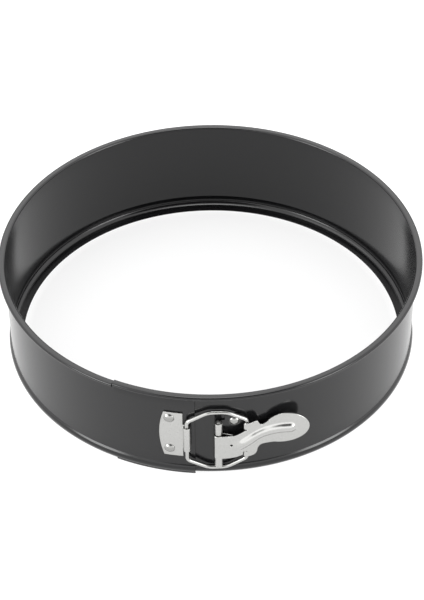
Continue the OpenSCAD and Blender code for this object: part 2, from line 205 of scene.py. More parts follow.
# Baked-on non-stick coating: nearly black, and grey where it mirrors the white tent.
# Its pigment gives a fine grain, drawn coarser than real so that it shows, and its skin is slightly uneven.
coating = {"dark": "#0d0d0e", "light": "#151516", "roughness": (0.13, 0.19), "ior": 1.43,
           "grain": 0.35, "grainDetail": 2.0,
           "peel": 1.6, "peelDetail": 3.0, "peelBump": 0.03, "peelDepth": 0.1}


def makeCoating(look):
    material, tree, shader = newMaterial("nonStickCoating")
    place = addNode(tree, "ShaderNodeTexCoord").outputs["Object"]
    grain = addNode(tree, "ShaderNodeTexNoise", {"Vector": place, "Detail": look["grainDetail"],
                                                 "Scale": 1 / (look["grain"] * mm)})
    tint = addNode(tree, "ShaderNodeMix", {0: grain.outputs["Fac"], 6: linearColour(look["dark"]),
                                           7: linearColour(look["light"])}, data_type="RGBA")
    peel = addNode(tree, "ShaderNodeTexNoise", {"Vector": place, "Detail": look["peelDetail"],
                                                "Scale": 1 / (look["peel"] * mm)})
    smooth, rough = look["roughness"]
    gloss = addNode(tree, "ShaderNodeMapRange", {"Value": peel.outputs["Fac"],
                                                 "To Min": smooth, "To Max": rough})
    bump = addNode(tree, "ShaderNodeBump", {"Height": peel.outputs["Fac"], "Strength": look["peelBump"],
                                            "Distance": look["peelDepth"] * mm})
    tree.links.new(tint.outputs[2], shader.inputs["Base Color"])
    tree.links.new(gloss.outputs["Result"], shader.inputs["Roughness"])
    tree.links.new(bump.outputs["Normal"], shader.inputs["Normal"])
    shader.inputs["IOR"].default_value = look["ior"]
    return material


# Zinc-plated steel: pale grey metal, finely mottled, drawn a little coarser than real so that it shows.
# Sheet is satin, the pressed lever a little shinier, the coiled pin dull, and rivets and wire are shiny; the
# rivets' zinc is drawn darker than the sheet's, as painted shade on their domes.
plating = {"detail": 4.0, "depth": 0.05}
sheetZinc = {"dark": "#a8a8a6", "light": "#b8b8b6", "mottle": 0.9, "roughness": (0.24, 0.34), "bump": 0.12}
# rivet zinc: the sheet's zinc darkened, painted shade over the rivet heads
shadedRivetZinc = {"dark": "#8e8e8c", "light": "#a0a09e", "mottle": 0.7, "roughness": (0.2, 0.28), "bump": 0.05}
leverZinc = {"dark": "#a8a8a6", "light": "#b8b8b6", "mottle": 0.9, "roughness": (0.1, 0.16), "bump": 0.1}
coilZinc = {"dark": "#b4b4b2", "light": "#c8c8c6", "mottle": 0.4, "roughness": (0.45, 0.55), "bump": 0.05}
drawnWire = {"dark": "#a6a6a4", "light": "#b6b6b4", "mottle": 0.6, "roughness": (0.05, 0.1), "bump": 0.02}


def makePlatedSteel(name, look):
    material, tree, shader = newMaterial(name)
    place = addNode(tree, "ShaderNodeTexCoord").outputs["Object"]
    mottle = addNode(tree, "ShaderNodeTexNoise", {"Vector": place, "Detail": plating["detail"],
                                                  "Scale": 1 / (look["mottle"] * mm)})
    tint = addNode(tree, "ShaderNodeMix", {0: mottle.outputs["Fac"], 6: linearColour(look["dark"]),
                                           7: linearColour(look["light"])}, data_type="RGBA")
    smooth, rough = look["roughness"]
    gloss = addNode(tree, "ShaderNodeMapRange", {"Value": mottle.outputs["Fac"],
                                                 "To Min": smooth, "To Max": rough})
    bump = addNode(tree, "ShaderNodeBump", {"Height": mottle.outputs["Fac"], "Strength": look["bump"],
                                            "Distance": plating["depth"] * mm})
    tree.links.new(tint.outputs[2], shader.inputs["Base Color"])
    tree.links.new(gloss.outputs["Result"], shader.inputs["Roughness"])
    tree.links.new(bump.outputs["Normal"], shader.inputs["Normal"])
    shader.inputs["Metallic"].default_value = 1.0
    return material


coatingLook = makeCoating(coating)
plateLook = makePlatedSteel("satinZincSheet", sheetZinc)
leverLook = makePlatedSteel("satinZincPressing", leverZinc)
pinLook = makePlatedSteel("dullZincCoil", coilZinc)
shadedRivetLook = makePlatedSteel("brightZinc", shadedRivetZinc)
wireLook = makePlatedSteel("brightDrawnWire", drawnWire)
print("materials made")


# Shared ways of making a mesh. Outlines are lists of points in millimetres.
smoothBelow = 35.0          # faces that meet at less than this are shaded as one
samePoint = 1e-6


def smoothStep(k):
    k = np.clip(k, 0, 1)
    return 3 * k * k - 2 * k ** 3


def arcPoints(centre, radius, startAngle, endAngle, count):
    angles = np.radians(np.linspace(startAngle, endAngle, count + 1))
    return [(centre[0] + radius * math.cos(a), centre[1] + radius * math.sin(a)) for a in angles]


def capAround(middle, ahead, radius, steps):
    start = math.degrees(math.atan2(ahead[1], ahead[0])) + 90
    return [np.array(p) for p in arcPoints(middle, radius, start, start - 180, steps)[1:-1]]


def sheetOutline(line, thickness, capSteps=5):
    points = np.array(line, float)
    keep = [0] + [i for i in range(1, len(points)) if np.linalg.norm(points[i] - points[i - 1]) > samePoint]
    points = points[keep]
    run = np.gradient(points, axis=0)
    run /= np.linalg.norm(run, axis=1)[:, None]
    side = np.stack([-run[:, 1], run[:, 0]], 1) * thickness / 2
    outline = list(points + side)
    outline += capAround(points[-1], run[-1], thickness / 2, capSteps)
    outline += list((points - side)[::-1])
    outline += capAround(points[0], -run[0], thickness / 2, capSteps)
    return [tuple(p) for p in outline]


def finishPiece(name, mesh, material, smoothAngle=smoothBelow):
    mesh.materials.clear()
    mesh.materials.append(material)
    mesh.shade_smooth()
    mesh.set_sharp_from_angle(angle=math.radians(smoothAngle))
    piece = bpy.data.objects.new(name, mesh)
    scene.collection.objects.link(piece)
    return piece


def meshPiece(name, verts, faces, material, smoothAngle=smoothBelow):
    mesh = bpy.data.meshes.new(name)
    mesh.from_pydata([tuple(v) for v in verts], [], faces)
    mesh.update()
    return finishPiece(name, mesh, material, smoothAngle)


# Turns what a piece's modifiers make into its plain mesh
def settle(piece, material, smoothAngle=smoothBelow):
    name = piece.name
    bpy.context.view_layer.update()
    graph = bpy.context.evaluated_depsgraph_get()
    mesh = bpy.data.meshes.new_from_object(piece.evaluated_get(graph), depsgraph=graph)
    bpy.data.objects.remove(piece)
    mesh.name = name
    return finishPiece(name, mesh, material, smoothAngle)


def joinPieces(name, pieces, material):
    joined = bmesh.new()
    for piece in pieces:
        joined.from_mesh(piece.data)
        bpy.data.objects.remove(piece)
    mesh = bpy.data.meshes.new(name)
    joined.to_mesh(mesh)
    joined.free()
    return finishPiece(name, mesh, material)


def roundEdges(piece, width, limit=50.0, segments=3):
    edges = piece.modifiers.new("edgeRound", "BEVEL")
    edges.width = width * mm
    edges.segments = segments
    edges.limit_method = "ANGLE"
    edges.angle_limit = math.radians(limit)


def prism(name, outline, lowZ, highZ, material, edgeRound):
    shape = bmesh.new()
    lower = shape.faces.new([shape.verts.new((x * mm, y * mm, lowZ * mm)) for x, y in outline])
    lifted = bmesh.ops.extrude_face_region(shape, geom=[lower])["geom"]
    top = [v for v in lifted if isinstance(v, bmesh.types.BMVert)]
    bmesh.ops.translate(shape, vec=(0, 0, (highZ - lowZ) * mm), verts=top)
    bmesh.ops.recalc_face_normals(shape, faces=shape.faces)
    mesh = bpy.data.meshes.new(name)
    shape.to_mesh(mesh)
    shape.free()
    piece = finishPiece(name, mesh, material)
    roundEdges(piece, edgeRound)
    return settle(piece, material)


def gridPiece(name, points, thickness, material, edgeRound):
    rows, columns = points.shape[:2]
    faces = [(i * columns + j, i * columns + j + 1, (i + 1) * columns + j + 1, (i + 1) * columns + j)
             for i in range(rows - 1) for j in range(columns - 1)]
    piece = meshPiece(name, points.reshape(-1, 3), faces, material)
    wall = piece.modifiers.new("sheet", "SOLIDIFY")
    wall.thickness = thickness * mm
    wall.offset = 0.0
    wall.use_even_offset = True
    roundEdges(piece, edgeRound, limit=60.0)
    return settle(piece, material)


def setInput(modifier, name, value):
    sockets = modifier.node_group.interface.items_tree
    socket = next(s for s in sockets if s.name == name and s.in_out == "INPUT")
    modifier[socket.identifier] = value


# The band: one strip of sheet, swept round the ring, with its left half lapped over its right at the front.
# The end of the left half has no rim or lip of its own: it is tucked under the rim of the right half.
band = {
    "insideRadius": 130.0, "height": 67.0, "sheet": 0.5,
    "rimWidth": 4.5, "rimHeight": 2.8, "rimReturn": 1.2,
    "beadRadius": 4.5, "beadOut": 1.3, "beadFillet": 1.0, "lipIn": 7.0,
    "lapStep": 0.45, "joggle": 0.02, "lapGap": 0.4,
    "innerEnd": 26.2, "outerEnd": 4.6, "endGap": 0.1,      # degrees to the left of the front
    "tuckAngle": 35.0, "skirtZ": 1.0,
    "flexFrom": 70.0, "flexTo": -8.0,                      # the back of the band, along X; the two halves are joined at the first
    "stepAngle": 0.75, "rimSteps": 18, "cornerSteps": 10, "wallSteps": 8, "filletSteps": 8, "beadSteps": 24,
}
front = 270.0               # the latch's side of the ring


def beadFillet():
    middle = (band["sheet"] + band["beadOut"] - band["beadRadius"], band["beadRadius"])
    radius = band["beadRadius"] - band["sheet"] / 2
    reach = radius + band["beadFillet"]
    cornerX = band["sheet"] / 2 + band["beadFillet"]
    angle = math.acos((cornerX - middle[0]) / reach)
    return middle, radius, (cornerX, middle[1] + reach * math.sin(angle)), math.degrees(angle)


# Wall, fillet and bead, from the top downwards, as (distance from the inside, height)
def wallLine(topZ, beadEnd):
    middle, radius, corner, angle = beadFillet()
    line = [(band["sheet"] / 2, z) for z in np.linspace(topZ, corner[1], band["wallSteps"] + 1)[:-1]]
    line += arcPoints(corner, band["beadFillet"], 180, 180 + angle, band["filletSteps"])
    return line + arcPoints(middle, radius, angle, beadEnd, band["beadSteps"])[1:]


def fullLine():
    roll = band["rimHeight"] / 2
    bend = roll - band["sheet"] / 2
    middleZ = band["height"] - roll
    far = band["rimWidth"] - roll
    line = [(far - band["rimReturn"], middleZ - bend), (far - band["rimReturn"] / 2, middleZ - bend)]
    line += arcPoints((far, middleZ), bend, -90, 90, band["rimSteps"])
    line += [((far + roll) / 2, middleZ + bend)]
    line += arcPoints((roll, middleZ), bend, 90, 180, band["cornerSteps"])
    line += wallLine(middleZ, -90)[1:]
    return line + [(-band["lipIn"] + band["sheet"] / 2, band["sheet"] / 2)]


def tuckedLine():
    line = wallLine(band["height"] - band["rimHeight"] - band["lapGap"], -band["tuckAngle"])
    return [(x + band["joggle"], z) for x, z in line + [(line[-1][0], band["skirtZ"])]]


def sweepTree():
    tree = bpy.data.node_groups.new("sheetSwept", "GeometryNodeTree")
    face = tree.interface
    face.new_socket("Profile", in_out="INPUT", socket_type="NodeSocketGeometry")
    for name, kind in (("Radius", "Float"), ("Start", "Float"), ("Sweep", "Float"), ("Lap step", "Float"),
                       ("Steps", "Int"), ("Finish", "Material")):
        face.new_socket(name, in_out="INPUT", socket_type="NodeSocket" + kind)
    face.new_socket("Mesh", in_out="OUTPUT", socket_type="NodeSocketGeometry")
    given = addNode(tree, "NodeGroupInput").outputs
    arc = addNode(tree, "GeometryNodeCurveArc", {"Resolution": given["Steps"], "Radius": given["Radius"],
                                                 "Start Angle": given["Start"],
                                                 "Sweep Angle": given["Sweep"]})
    # The left half is wider by the lap step and moved forwards by as much, so both halves meet at the back
    place = addNode(tree, "GeometryNodeInputPosition").outputs[0]
    across = addNode(tree, "ShaderNodeSeparateXYZ", {0: place})
    left = addNode(tree, "FunctionNodeCompare", {"A": across.outputs["X"], "B": 0.0}, operation="LESS_THAN")
    share = addNode(tree, "ShaderNodeMath", {0: given["Lap step"], 1: given["Radius"]}, operation="DIVIDE")
    grow = addNode(tree, "ShaderNodeMath", {0: share.outputs[0], 1: 1.0}, operation="ADD")
    wider = addNode(tree, "ShaderNodeVectorMath", {0: place, "Scale": grow.outputs[0]}, operation="SCALE")
    back = addNode(tree, "ShaderNodeMath", {0: given["Lap step"], 1: -1.0}, operation="MULTIPLY")
    shift = addNode(tree, "ShaderNodeCombineXYZ", {"Y": back.outputs[0]})
    lapped = addNode(tree, "ShaderNodeVectorMath", {0: wider.outputs[0], 1: shift.outputs[0]},
                     operation="ADD")
    path = addNode(tree, "GeometryNodeSetPosition", {"Geometry": arc.outputs["Curve"],
                                                     "Selection": left.outputs["Result"],
                                                     "Position": lapped.outputs[0]})
    upright = addNode(tree, "GeometryNodeSetCurveNormal", {"Curve": path.outputs[0]}, mode="Z_UP")
    swept = addNode(tree, "GeometryNodeCurveToMesh", {"Curve": upright.outputs[0],
                                                      "Profile Curve": given["Profile"], "Fill Caps": True})
    real = addNode(tree, "GeometryNodeRealizeInstances", {"Geometry": swept.outputs[0]})
    done = addNode(tree, "GeometryNodeSetMaterial", {"Geometry": real.outputs[0],
                                                     "Material": given["Finish"]})
    addNode(tree, "NodeGroupOutput", {0: done.outputs[0]})
    return tree


def profileCurve(name, outline):
    curve = bpy.data.curves.new(name, "CURVE")
    curve.dimensions = "3D"
    spline = curve.splines.new("POLY")
    spline.points.add(len(outline) - 1)
    for point, (across, height) in zip(spline.points, outline):
        point.co = (across * mm, -height * mm, 0, 1)
    spline.use_cyclic_u = True
    piece = bpy.data.objects.new(name, curve)
    scene.collection.objects.link(piece)
    return piece


def sweptSheet(name, line, startAngle, endAngle, lapStep, tree):
    piece = profileCurve(name, sheetOutline(line, band["sheet"]))
    sweep = piece.modifiers.new("sweep", "NODES")
    sweep.node_group = tree
    setInput(sweep, "Radius", band["insideRadius"] * mm)
    setInput(sweep, "Start", math.radians(startAngle))
    setInput(sweep, "Sweep", math.radians(endAngle - startAngle))
    setInput(sweep, "Lap step", lapStep * mm)
    setInput(sweep, "Steps", round((endAngle - startAngle) / band["stepAngle"]) + 1)
    setInput(sweep, "Finish", coatingLook)
    return settle(piece, coatingLook)


def makeBand():
    tree = sweepTree()
    joint = math.degrees(math.acos(band["flexFrom"] / band["insideRadius"]))
    inner = front - band["innerEnd"]
    held = sweptSheet("bandInnerEnd", fullLine(), inner, 360 + joint, 0.0, tree)
    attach(held, "ring")
    whole = sweptSheet("outerHalf", fullLine(), joint, inner - band["endGap"], band["lapStep"], tree)
    tucked = sweptSheet("outerTuck", tuckedLine(), inner - 2 * band["endGap"], front - band["outerEnd"],
                        band["lapStep"], tree)
    free = joinPieces("bandOuterEnd", [whole, tucked], coatingLook)
    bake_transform(free)
    for piece in (held, free):
        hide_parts("band")


makeBand()
print("band swept")

# Latch plates: bowed pieces of sheet, each rolled into knuckles at its straight edge.
# An X is measured along the wall from the front, an R from the ring's axis.
lapRadius = band["insideRadius"] + 2 * band["lapStep"]
plateForm = {"grid": (28, 16), "edgeRound": 0.18, "knuckleRound": 0.12, "legLap": 1.2, "legSteps": 10,
             "rollEnd": 300.0, "rollSteps": 40,
             "seatGap": 0.05}                               # between the lapped wall and the plate on it
wirePlate = {
    "face": lapRadius + band["sheet"] + plateForm["seatGap"], "sheet": 0.9,
    "straightX": -17.6, "width": 11.5, "bow": 2.8, "lowZ": 15.6, "height": 36.0,
    "hingeX": -15.0, "hingeR": 134.2, "rollR": 1.75, "knuckles": ((23.0, 42.3),),
}
leverPlate = {
    "face": band["insideRadius"] + band["sheet"], "sheet": 0.9,
    "straightX": 7.2, "width": 10.6, "bow": 2.8, "lowZ": 13.2, "height": 37.2,
    "hingeX": 3.53, "hingeR": 133.55, "rollR": 1.9, "knuckles": ((10.0, 17.7), (37.2, 46.2)),
}


def onWall(arcX, radius):
    angle = arcX / lapRadius
    return radius * math.sin(angle), -radius * math.cos(angle)


def plateGrid(plate):
    rows, columns = plateForm["grid"]
    side = math.copysign(1, plate["straightX"])
    middle = plate["lowZ"] + plate["height"] / 2
    bowR = (plate["height"] ** 2 / 4 + plate["bow"] ** 2) / (2 * plate["bow"])
    points = np.zeros((rows, columns, 3))
    for i, z in enumerate(np.linspace(plate["lowZ"], plate["lowZ"] + plate["height"], rows)):
        sag = bowR - math.sqrt(bowR ** 2 - (z - middle) ** 2)
        far = plate["straightX"] + side * (plate["width"] + plate["bow"] - sag)
        for j, arcX in enumerate(np.linspace(plate["straightX"], far, columns)):
            x, y = onWall(arcX, plate["face"] + plate["sheet"] / 2)
            points[i, j] = (x * mm, y * mm, z * mm)
    return points if side < 0 else points[:, ::-1]


def knuckleLeg(name, plate, lowZ, highZ, look):
    edge, steps = plate["straightX"], plateForm["legSteps"]
    side = math.copysign(1, edge)
    seat = plate["face"] + plate["sheet"] / 2
    rise = plate["hingeR"] - plate["rollR"]
    reach = edge - plate["hingeX"]
    line = [(edge + side * plateForm["legLap"], seat), (edge, seat)]
    shares = np.linspace(1 / steps, 1.0, steps)
    line += [(edge - reach * k, seat + (rise - seat) * smoothStep(k)) for k in shares]
    outline = [onWall(x, r) for x, r in sheetOutline(line, plate["sheet"])]
    return prism(name, outline, lowZ, highZ, look, plateForm["knuckleRound"])


def knuckleRoll(name, plate, lowZ, highZ):
    side = math.copysign(1, plate["straightX"])
    roll = arcPoints((0, plate["hingeR"]), plate["rollR"], -90, -90 + plateForm["rollEnd"],
                     plateForm["rollSteps"])
    line = [(plate["hingeX"] - side * across, r) for across, r in roll]
    outline = [onWall(x, r) for x, r in sheetOutline(line, plate["sheet"])]
    return prism(name, outline, lowZ, highZ, plateLook, plateForm["knuckleRound"])


def makePlate(name, plate, node, body, sheetLook, sheetSlot):
    parts = [gridPiece(name + "Plate", plateGrid(plate), plate["sheet"], sheetLook, plateForm["edgeRound"])]
    parts += [knuckleLeg(name + "Leg", plate, low, high, sheetLook) for low, high in plate["knuckles"]]
    sheet = joinPieces(name + "Sheet", parts, sheetLook)
    rolls = [knuckleRoll(name + "Roll", plate, low, high) for low, high in plate["knuckles"]]
    knuckles = joinPieces(name + "Knuckles", rolls, plateLook)
    for piece, slot in ((sheet, sheetSlot), (knuckles, "plate_zinc")):
        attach(piece, body)
        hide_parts(node)


makePlate("wirePlate", wirePlate, "wire_plate", "free_end", plateLook, "plate_zinc")
# The lever plate's sheet and legs are drawn in the band's dark coating, and its rolled knuckles in bare zinc
makePlate("leverPlate", leverPlate, "lever_plate", "ring", coatingLook, "coating")
print("plates made")

# Rivets: a domed head, set on its plate by its place on the wall, and a tail where it comes through the band.
# The tails of the wire plate's rivets would lie unseen in the lap, so those have no grip and no tail.
rivet = {"headR": 3.3, "headH": 1.5, "domeShare": 0.97, "skirtH": 0.1, "skirtIn": 0.05,
         "shankR": 1.5, "tailR": 2.4, "tailH": 0.5, "tailRound": 0.2,
         "domeSteps": 14, "tailSteps": 4, "steps": 40, "smoothAngle": 45.0}
rivetSets = {
    "wirePlateRivets": {"plate": wirePlate, "x": -25.8, "zs": (21.4, 46.8), "grip": 0.0, "body": "free_end",
                        "nodes": ("wire_plate_lower_rivet", "wire_plate_upper_rivet")},
    "leverPlateRivets": {"plate": leverPlate, "x": 13.2, "zs": (18.5, 44.8),
                         "grip": leverPlate["sheet"] + band["sheet"], "body": "ring",
                         "nodes": ("lever_plate_lower_rivet", "lever_plate_upper_rivet")},
}


def lathe(name, profile, steps, material, weld=1e-7):
    verts, faces = [], []
    for k in range(steps):
        a = 2 * math.pi * k / steps
        verts += [(r * math.cos(a) * mm, r * math.sin(a) * mm, z * mm) for r, z in profile]
    count = len(profile)
    for k in range(steps):
        here, there = k * count, (k + 1) % steps * count
        faces += [(here + i, there + i, there + i + 1, here + i + 1) for i in range(count - 1)]
    piece = meshPiece(name, verts, faces, material)
    shape = bmesh.new()
    shape.from_mesh(piece.data)
    bmesh.ops.remove_doubles(shape, verts=shape.verts, dist=weld)
    bmesh.ops.recalc_face_normals(shape, faces=shape.faces)
    shape.to_mesh(piece.data)
    shape.free()
    return piece


def rivetProfile(grip):
    ball = (rivet["headR"] ** 2 + rivet["headH"] ** 2) / (2 * rivet["headH"])
    reach = math.degrees(math.asin(rivet["headR"] / ball)) * rivet["domeShare"]
    head = arcPoints((0, rivet["headH"] - ball), ball, 90, 90 - reach, rivet["domeSteps"])
    head += [(rivet["headR"], rivet["skirtH"]), (rivet["headR"] - rivet["skirtIn"], 0.0)]
    if not grip:
        return head + [(0, 0)]
    end, corner = -grip - rivet["tailH"], rivet["tailRound"]
    shank = [(rivet["shankR"], 0.0), (rivet["shankR"], -grip), (rivet["tailR"], -grip)]
    tail = arcPoints((rivet["tailR"] - corner, end + corner), corner, 0, -90, rivet["tailSteps"])
    return head + shank + tail + [(0, end)]


def rivetTree():
    tree = bpy.data.node_groups.new("rivetsOnWall", "GeometryNodeTree")
    face = tree.interface
    face.new_socket("Seats", in_out="INPUT", socket_type="NodeSocketGeometry")
    face.new_socket("Rivet", in_out="INPUT", socket_type="NodeSocketObject")
    face.new_socket("Finish", in_out="INPUT", socket_type="NodeSocketMaterial")
    face.new_socket("Mesh", in_out="OUTPUT", socket_type="NodeSocketGeometry")
    given = addNode(tree, "NodeGroupInput").outputs
    place = addNode(tree, "GeometryNodeInputPosition").outputs[0]
    outwards = addNode(tree, "ShaderNodeVectorMath", {0: place, 1: (1, 1, 0)}, operation="MULTIPLY")
    turn = addNode(tree, "FunctionNodeAlignRotationToVector", {"Vector": outwards.outputs[0]}, axis="Z")
    shape = addNode(tree, "GeometryNodeObjectInfo", {"Object": given["Rivet"]})
    placed = addNode(tree, "GeometryNodeInstanceOnPoints", {"Points": given["Seats"],
                                                            "Rotation": turn.outputs[0],
                                                            "Instance": shape.outputs["Geometry"]})
    real = addNode(tree, "GeometryNodeRealizeInstances", {"Geometry": placed.outputs[0]})
    done = addNode(tree, "GeometryNodeSetMaterial", {"Geometry": real.outputs[0],
                                                     "Material": given["Finish"]})
    addNode(tree, "NodeGroupOutput", {0: done.outputs[0]})
    return tree


def makeRivets():
    tree = rivetTree()
    for name, rivetSet in rivetSets.items():
        shape = lathe("rivetShape", rivetProfile(rivetSet["grip"]), rivet["steps"], shadedRivetLook)
        x, y = onWall(rivetSet["x"], rivetSet["plate"]["face"] + rivetSet["plate"]["sheet"])
        seats = meshPiece(name, [(x * mm, y * mm, z * mm) for z in rivetSet["zs"]], [], shadedRivetLook)
        spread = seats.modifiers.new("rivets", "NODES")
        spread.node_group = tree
        setInput(spread, "Rivet", shape)
        setInput(spread, "Finish", shadedRivetLook)
        rivets = settle(seats, shadedRivetLook, rivet["smoothAngle"])
        bpy.data.objects.remove(shape)
        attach(rivets, rivetSet["body"])
        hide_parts(*rivetSet["nodes"])


makeRivets()
print("rivets set")

# Hinge pin: a strip coiled tight, whose spiral shows at its upper end
pin = {"radius": 1.4, "sheet": 0.42, "gap": 0.08, "turns": 2.1, "lowZ": 10.1, "highZ": 46.6,
       "points": 110, "edgeRound": 0.1}
pinX, pinY = onWall(leverPlate["hingeX"], leverPlate["hingeR"])


def makePin():
    pitch = pin["sheet"] + pin["gap"]
    line = []
    for turned in np.linspace(0, 360 * pin["turns"], pin["points"]):
        reach = pin["radius"] - pin["sheet"] / 2 - pitch * (pin["turns"] - turned / 360)
        a = math.radians(turned)
        line.append((pinX + reach * math.cos(a), pinY + reach * math.sin(a)))
    outline = sheetOutline(line, pin["sheet"])
    piece = prism("hingePin", outline, pin["lowZ"], pin["highZ"], pinLook, pin["edgeRound"])
    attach(piece, "ring")
    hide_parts("hinge_pin")


makePin()
print("pin coiled")

# Lever: one flat blank of sheet, pressed, rolled round the pin and curled into two hooks.
# Places on the blank are (s, z), with s along the lever from the pin, and t is the height over the pin.
lever = {
    "lean": 5.0, "sheet": 1.1, "edgeRound": 0.28, "edgeBends": (67.5, 45.0, 22.5, 0.0), "smoothAngle": 40.0,
    "roll": (-0.3, 0.2), "rollR": 2.15, "rollTurn": 201.0,
    "backRun": 8.5,                                         # second layer behind the root
    "lowerRoot": ((6.7, 18.0), (10.7, 18.7)),
    "upperRoot": ((15.9, 40.2), (13.9, 38.8), (10.4, 36.9), (9.0, 36.5)),
    "hookS": 17.0, "hookT": 0.1, "hookStart": 15.04, "hookMargin": 0.3, "hooks": ((18.0, 22.4), (40.8, 45.6)),
    "slit": 0.3, "notchBack": 2.6, "notchLow": 20.2,        # beside the lower hook
    "lowerEar": ((19.3, 18.2), (21.3, 18.7), (22.3, 19.5), (23.0, 21.0), (23.3, 23.0), (24.0, 24.8),
                 (25.5, 25.9), (27.5, 25.9)),
    "upperEar": ((26.3, 42.1), (24.7, 43.0), (24.2, 44.2), (23.8, 45.2), (23.2, 46.3), (22.4, 46.6),
                 (19.2, 46.0)),
    "earRise": 0.2,                                         # from the upper hook to the ear beside it
    "thumb": (38.8, 35.9), "thumbR": 11.95, "thumbBack": 12.0, "tipS": 55.0,
    "thumbFrom": 246.0, "thumbTo": 500.0, "thumbStep": 3.0,
    "cornerCut": 0.6, "cornerPoints": 6,
    "mostCut": 0.45,                                        # share of an edge that a corner may take
    "ribStart": (8.5, 26.4), "ribClimb": 31.0, "ribBend": 18.0, "ribLevel": 36.0, "ribEnd": 43.5,
    "ribFlat": 0.3, "ribFoot": 4.8, "ribH": 2.2, "ribRamp": (5.0, 16.0), "ribPoints": 14,
    "crank": 5.0, "crankStart": 13.0, "crankRun": 26.0,     # towards the wall
    "eye": (7.5, 28.8), "eyeD": 1.6, "eyeStep": 12.0,
    "mesh": 0.55, "weld": 1e-5,
    "rowShare": 0.866, "edgeShare": 0.6,                    # of the mesh size: row to row, and row to edge
}


def leverPlace(s, t):
    a = math.radians(lever["lean"])
    return pinX + s * math.cos(a) + t * math.sin(a), pinY + s * math.sin(a) - t * math.cos(a)


def leverOutline():
    s, start, slit = lever["hookS"], lever["hookStart"], lever["slit"]
    (lowA, lowB), (highA, highB) = lever["hooks"]
    end = lever["roll"][0] - lever["rollR"] * math.radians(lever["rollTurn"]) - lever["backRun"]
    notch = s - lever["notchBack"]
    lower = [(end, lever["lowerRoot"][0][1]), *lever["lowerRoot"], (notch, lever["notchLow"]),
             (notch, lowB + slit), (s, lowB + slit), (s, lowB), (start, lowB), (start, lowA), (s, lowA),
             *lever["lowerEar"]]
    thumbS, thumbZ = lever["thumb"]
    thumb = []
    for a in np.radians(np.arange(lever["thumbFrom"], lever["thumbTo"], lever["thumbStep"])):
        reach = lever["tipS"] - thumbS if math.cos(a) > 0 else lever["thumbBack"]
        thumb.append((thumbS + reach * math.cos(a), thumbZ + lever["thumbR"] * math.sin(a)))
    upper = [*lever["upperEar"], (s, highB + lever["earRise"]), (start, highB), (start, highA), (s, highA),
             (s, highA - slit), *lever["upperRoot"], (end, lever["upperRoot"][-1][1])]
    return lower + thumb + upper


# Rounds the corners and divides the edges
def softOutline(corners):
    points = [np.array(c, float) for c in corners]
    cut, most = lever["cornerCut"], lever["mostCut"]
    soft = []
    for before, here, after in zip(points[-1:] + points[:-1], points, points[1:] + points[:1]):
        back, ahead = before - here, after - here
        first = here + back * min(most, cut / np.linalg.norm(back))
        last = here + ahead * min(most, cut / np.linalg.norm(ahead))
        soft += [first * (1 - k) ** 2 + here * 2 * k * (1 - k) + last * k * k
                 for k in np.linspace(0, 1, lever["cornerPoints"])]
    fine = []
    for here, after in zip(soft, soft[1:] + soft[:1]):
        parts = max(1, math.ceil(np.linalg.norm(after - here) / lever["mesh"]))
        fine += [here + (after - here) * k / parts for k in range(parts)]
    return np.array(fine)


def outwardNormals(loop, sharpest=0.5):
    ahead = np.roll(loop, -1, 0) - loop
    ahead = ahead / np.linalg.norm(ahead, axis=1)[:, None]
    back = np.roll(ahead, 1, 0)
    sides = np.stack([ahead[:, 1] + back[:, 1], -ahead[:, 0] - back[:, 0]], 1)
    return sides / np.maximum((sides * sides).sum(1)[:, None] / 2, sharpest)


def insideLoop(loop, points, tiny=1e-9):
    a, b = loop, np.roll(loop, -1, 0)
    x, z = points[:, :1], points[:, 1:]
    spans = (a[:, 1] > z) != (b[:, 1] > z)
    rise = np.where(b[:, 1] == a[:, 1], tiny, b[:, 1] - a[:, 1])
    crossing = x < (b[:, 0] - a[:, 0]) * (z - a[:, 1]) / rise + a[:, 0]
    return (spans & crossing).sum(1) % 2 == 1


def gapToLoop(loop, points):
    return np.linalg.norm(points[:, None] - loop[None], axis=2).min(1)


def ribDistance(s, z):
    start, level, bend = np.array(lever["ribStart"]), lever["ribLevel"], lever["ribBend"]
    climb = math.radians(lever["ribClimb"])
    corner = np.array((start[0] + (level - start[1]) / math.tan(climb), level))
    middle = corner + np.array((bend * math.tan(climb / 2), -bend))
    line = [start]
    line += [middle + bend * np.array((math.cos(a), math.sin(a)))
             for a in np.linspace(math.pi / 2 + climb, math.pi / 2, lever["ribPoints"])]
    line.append(np.array((lever["ribEnd"], level)))
    place = np.stack([s, z], -1)
    best = np.full(s.shape, np.inf)
    for a, b in zip(line, line[1:]):
        run = b - a
        share = np.clip(((place - a) @ run) / (run @ run), 0, 1)
        best = np.minimum(best, np.linalg.norm(place - a - share[..., None] * run, axis=-1))
    return best


# The middle of the sheet, for places (u, z) on the blank
def leverMiddle(u, z, curls):
    (rollS, rollT), rollR = lever["roll"], lever["rollR"]
    hookS, hookT = lever["hookS"], lever["hookT"]
    flatT = rollT + rollR
    rampStart, rampEnd = lever["ribRamp"]
    rib = smoothStep((lever["ribFoot"] - ribDistance(u, z)) / (lever["ribFoot"] - lever["ribFlat"]))
    rib *= lever["ribH"] * smoothStep((u - rampStart) / (rampEnd - rampStart))
    along = np.where(curls, hookS, u)
    inwards = lever["crank"] * smoothStep((along - lever["crankStart"]) / lever["crankRun"])
    turn = math.radians(lever["rollTurn"])
    turned = math.pi / 2 + np.clip((rollS - u) / rollR, 0, turn)
    run = np.maximum(rollS - u - rollR * turn, 0)
    s = np.where(u < rollS, rollS + rollR * np.cos(turned) - run * np.sin(turned), u)
    t = np.where(u < rollS, rollT + rollR * np.sin(turned) + run * np.cos(turned), flatT + rib - inwards)
    hookR = flatT - hookT
    curled = math.pi / 2 + (hookS - u) / hookR
    s = np.where(curls, hookS + hookR * np.cos(curled), s)
    t = np.where(curls, hookT - inwards + hookR * np.sin(curled), t)
    x, y = leverPlace(s, t)
    return np.stack([x, y, z], -1)


